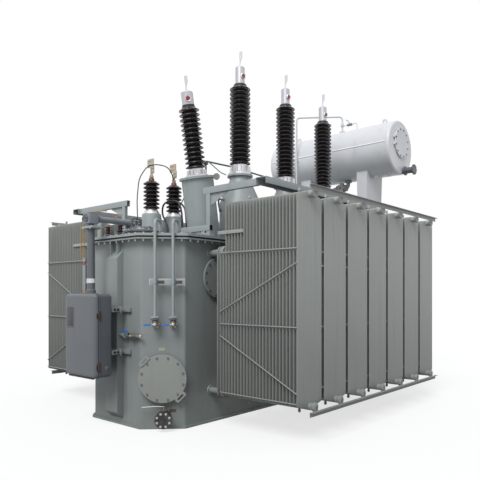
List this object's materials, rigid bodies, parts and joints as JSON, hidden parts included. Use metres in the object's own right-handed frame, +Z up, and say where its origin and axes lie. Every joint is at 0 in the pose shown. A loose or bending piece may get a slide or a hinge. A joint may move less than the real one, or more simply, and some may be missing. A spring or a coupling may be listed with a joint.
{
  "type": "power transformer",
  "caption": "Oil-filled outdoor power transformer with panel radiator banks, porcelain bushings, an overhead conservator and a tap-changer drive cabinet",
  "frame": {"origin": "The middle of the tank's flat underside, on the ground", "axes": "+X across the tank towards the high-voltage side, +Y along the tank away from the drive cabinet, +Z up"},
  "size_m": [5.3706, 6.586, 5.5559],
  "materials": {
    "radiator_paint": "semi-gloss grey-green paint",
    "drive_paint": "semi-gloss blue-grey paint",
    "conservator_paint": "gloss off-white paint",
    "porcelain": "dark brown glaze",
    "lever_blue": "blue dipped grip",
    "black_paint": "black paint"
  },
  "bodies": {
    "transformer": {"busbar_frame_left": "radiator_paint", "busbar_frame_right": "radiator_paint", "conservator": "conservator_paint", "conservator_leg_left": "conservator_paint", "conservator_leg_right": "conservator_paint", "drain_valve": "black_paint", "drive_cabinet": "drive_paint", "drive_shaft": "drive_paint", "drive_tube": "drive_paint", "end_valve": "radiator_paint", "handhole_cover": "radiator_paint", "hv_bushing_1": "porcelain", "hv_bushing_2": "porcelain", "hv_bushing_3": "porcelain", "hv_turret_1": "radiator_paint", "hv_turret_2": "radiator_paint", "hv_turret_3": "radiator_paint", "lv_bushing_1": "porcelain", "lv_bushing_2": "porcelain", "lv_bushing_3": "porcelain", "manhole_cover": "radiator_paint", "manhole_lug_lower": "radiator_paint", "manhole_lug_upper": "radiator_paint", "neutral_bushing": "porcelain", "neutral_turret": "radiator_paint", "oltc_head": "drive_paint", "radiator_left_1": "radiator_paint", "radiator_left_2": "radiator_paint", "radiator_left_3": "radiator_paint", "radiator_left_4": "radiator_paint", "radiator_left_5": "radiator_paint", "radiator_left_6": "radiator_paint", "radiator_left_7": "radiator_paint", "radiator_right_1": "radiator_paint", "radiator_right_2": "radiator_paint", "radiator_right_3": "radiator_paint", "radiator_right_4": "radiator_paint", "radiator_right_5": "radiator_paint", "radiator_right_6": "radiator_paint", "radiator_right_7": "radiator_paint", "rail_left_bottom": "radiator_paint", "rail_left_top": "radiator_paint", "rail_right_bottom": "radiator_paint", "rail_right_top": "radiator_paint", "relay_pipe": "radiator_paint", "sampling_pipe_left": "radiator_paint", "sampling_pipe_right": "radiator_paint", "tank_cover": "radiator_paint", "tank_shell": "radiator_paint", "tie_bars_left": "radiator_paint", "tie_bars_right": "radiator_paint", "vent_pipe": "radiator_paint"},
    "cabinet_door": {"cabinet_door": "drive_paint"},
    "end_valve_lever": {"end_valve_lever": "lever_blue"},
    "valve_lever_left": {"valve_lever_left": "lever_blue"},
    "valve_lever_right": {"valve_lever_right": "lever_blue"}
  },
  "joints": [
    {"name": "cabinet_door_hinge", "type": "hinge", "parent": "transformer", "child": "cabinet_door", "pos_m": [-0.453, -3.411, 1.22], "axis": [0, 0, -1], "range_deg": [0, 110]},
    {"name": "end_valve_turn", "type": "hinge", "parent": "transformer", "child": "end_valve_lever", "pos_m": [0.42, -3.0353, 1.21], "axis": [0, -1, 0], "range_deg": [0, 90]},
    {"name": "valve_left_turn", "type": "hinge", "parent": "transformer", "child": "valve_lever_left", "pos_m": [0.77728, -2.93206, 1.37], "axis": [0.7071, -0.7071, 0], "range_deg": [0, 90]},
    {"name": "valve_right_turn", "type": "hinge", "parent": "transformer", "child": "valve_lever_right", "pos_m": [0.93992, -2.76943, 1.37], "axis": [0.7071, -0.7071, 0], "range_deg": [0, 90]}
  ]
}
